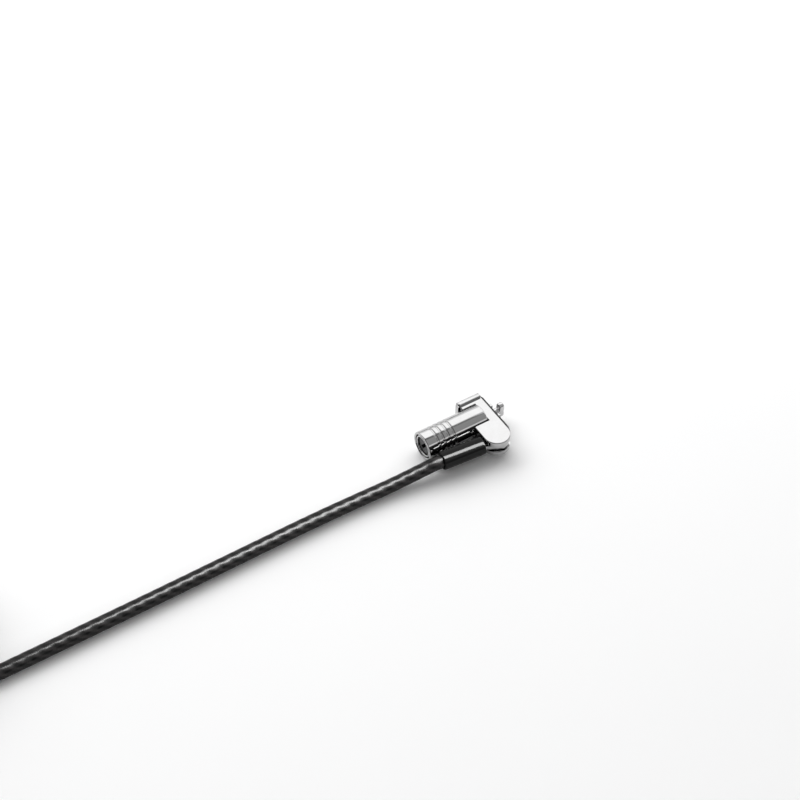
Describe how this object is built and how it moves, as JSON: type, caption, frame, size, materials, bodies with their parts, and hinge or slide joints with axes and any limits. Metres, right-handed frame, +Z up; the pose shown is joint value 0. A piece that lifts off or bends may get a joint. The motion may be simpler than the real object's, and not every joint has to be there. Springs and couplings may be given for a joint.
{
  "type": "laptop cable lock",
  "caption": "Keyed cable lock for a laptop's security slot: round barrel in a flat head, T-bar tip, hinged cable sleeve and coiled steel cable with an end loop.",
  "frame": {"origin": "on the table under the middle of the lock's own box, cable and coil left out", "axes": "+X from the key end to the laptop along the barrel, +Y to the laptop's back, +Z up"},
  "size_m": [0.2692, 0.08, 0.0225],
  "materials": {
    "chrome": "polished",
    "steel": "satin",
    "brass": "satin",
    "rubber": "matte",
    "boot_plastic": "gloss",
    "cable_sheath": "gloss",
    "tie_fabric": "matte"
  },
  "bodies": {
    "lock_body": {"head_housing": "chrome", "face_pad": "rubber", "barrel_sleeve": "chrome", "face_ring": "chrome", "cylinder_body": "brass", "front_bush": "steel", "barrel_pin": "steel", "bush_screw_upper": "steel", "bush_screw_lower": "steel", "pivot_pin": "steel", "pivot_washer_upper": "steel", "pivot_washer_lower": "steel"},
    "lock_core": {"key_plug": "steel", "guard_disc": "steel", "lock_disc_1": "brass", "lock_disc_2": "brass", "lock_disc_3": "brass", "lock_disc_4": "brass", "lock_disc_5": "brass", "lock_disc_6": "brass", "sidebar": "steel", "disc_washer": "steel", "drive_tail": "steel", "tail_clip": "steel"},
    "t_bar": {"t_bar": "steel"},
    "cable_hinge": {"swivel_knuckle": "chrome", "cable": "cable_sheath", "cable_coil": "cable_sheath", "cable_tail": "cable_sheath", "cable_tie_1": "tie_fabric", "cable_tie_2": "tie_fabric", "loop_ferrule": "steel", "end_loop": "cable_sheath"},
    "cable_end": {"cable_boot": "boot_plastic", "cable_ferrule": "steel"}
  },
  "joints": [
    {"name": "key_turn", "type": "hinge", "parent": "lock_body", "child": "lock_core", "pos_m": [-0.00725, 0.00387, 0.0055], "axis": [1, 0, 0], "range_deg": [0, 90]},
    {"name": "t_bar_turn", "type": "hinge", "parent": "lock_body", "child": "t_bar", "pos_m": [0.01275, 0.00387, 0.0055], "axis": [1, 0, 0], "range_deg": [0, 90]},
    {"name": "cable_pivot", "type": "hinge", "parent": "lock_body", "child": "cable_hinge", "pos_m": [0.007, -0.00713, 0.0055], "axis": [0, 0, 1], "range_deg": [0, 98]},
    {"name": "boot_swivel", "type": "hinge", "parent": "cable_hinge", "child": "cable_end", "pos_m": [0.007, -0.00713, 0.0055], "axis": [-0.9969, 0.0785, 0], "continuous": true}
  ],
  "couplings": [
    {"joint": "t_bar_turn", "follows": "key_turn", "ratio": 1}
  ]
}
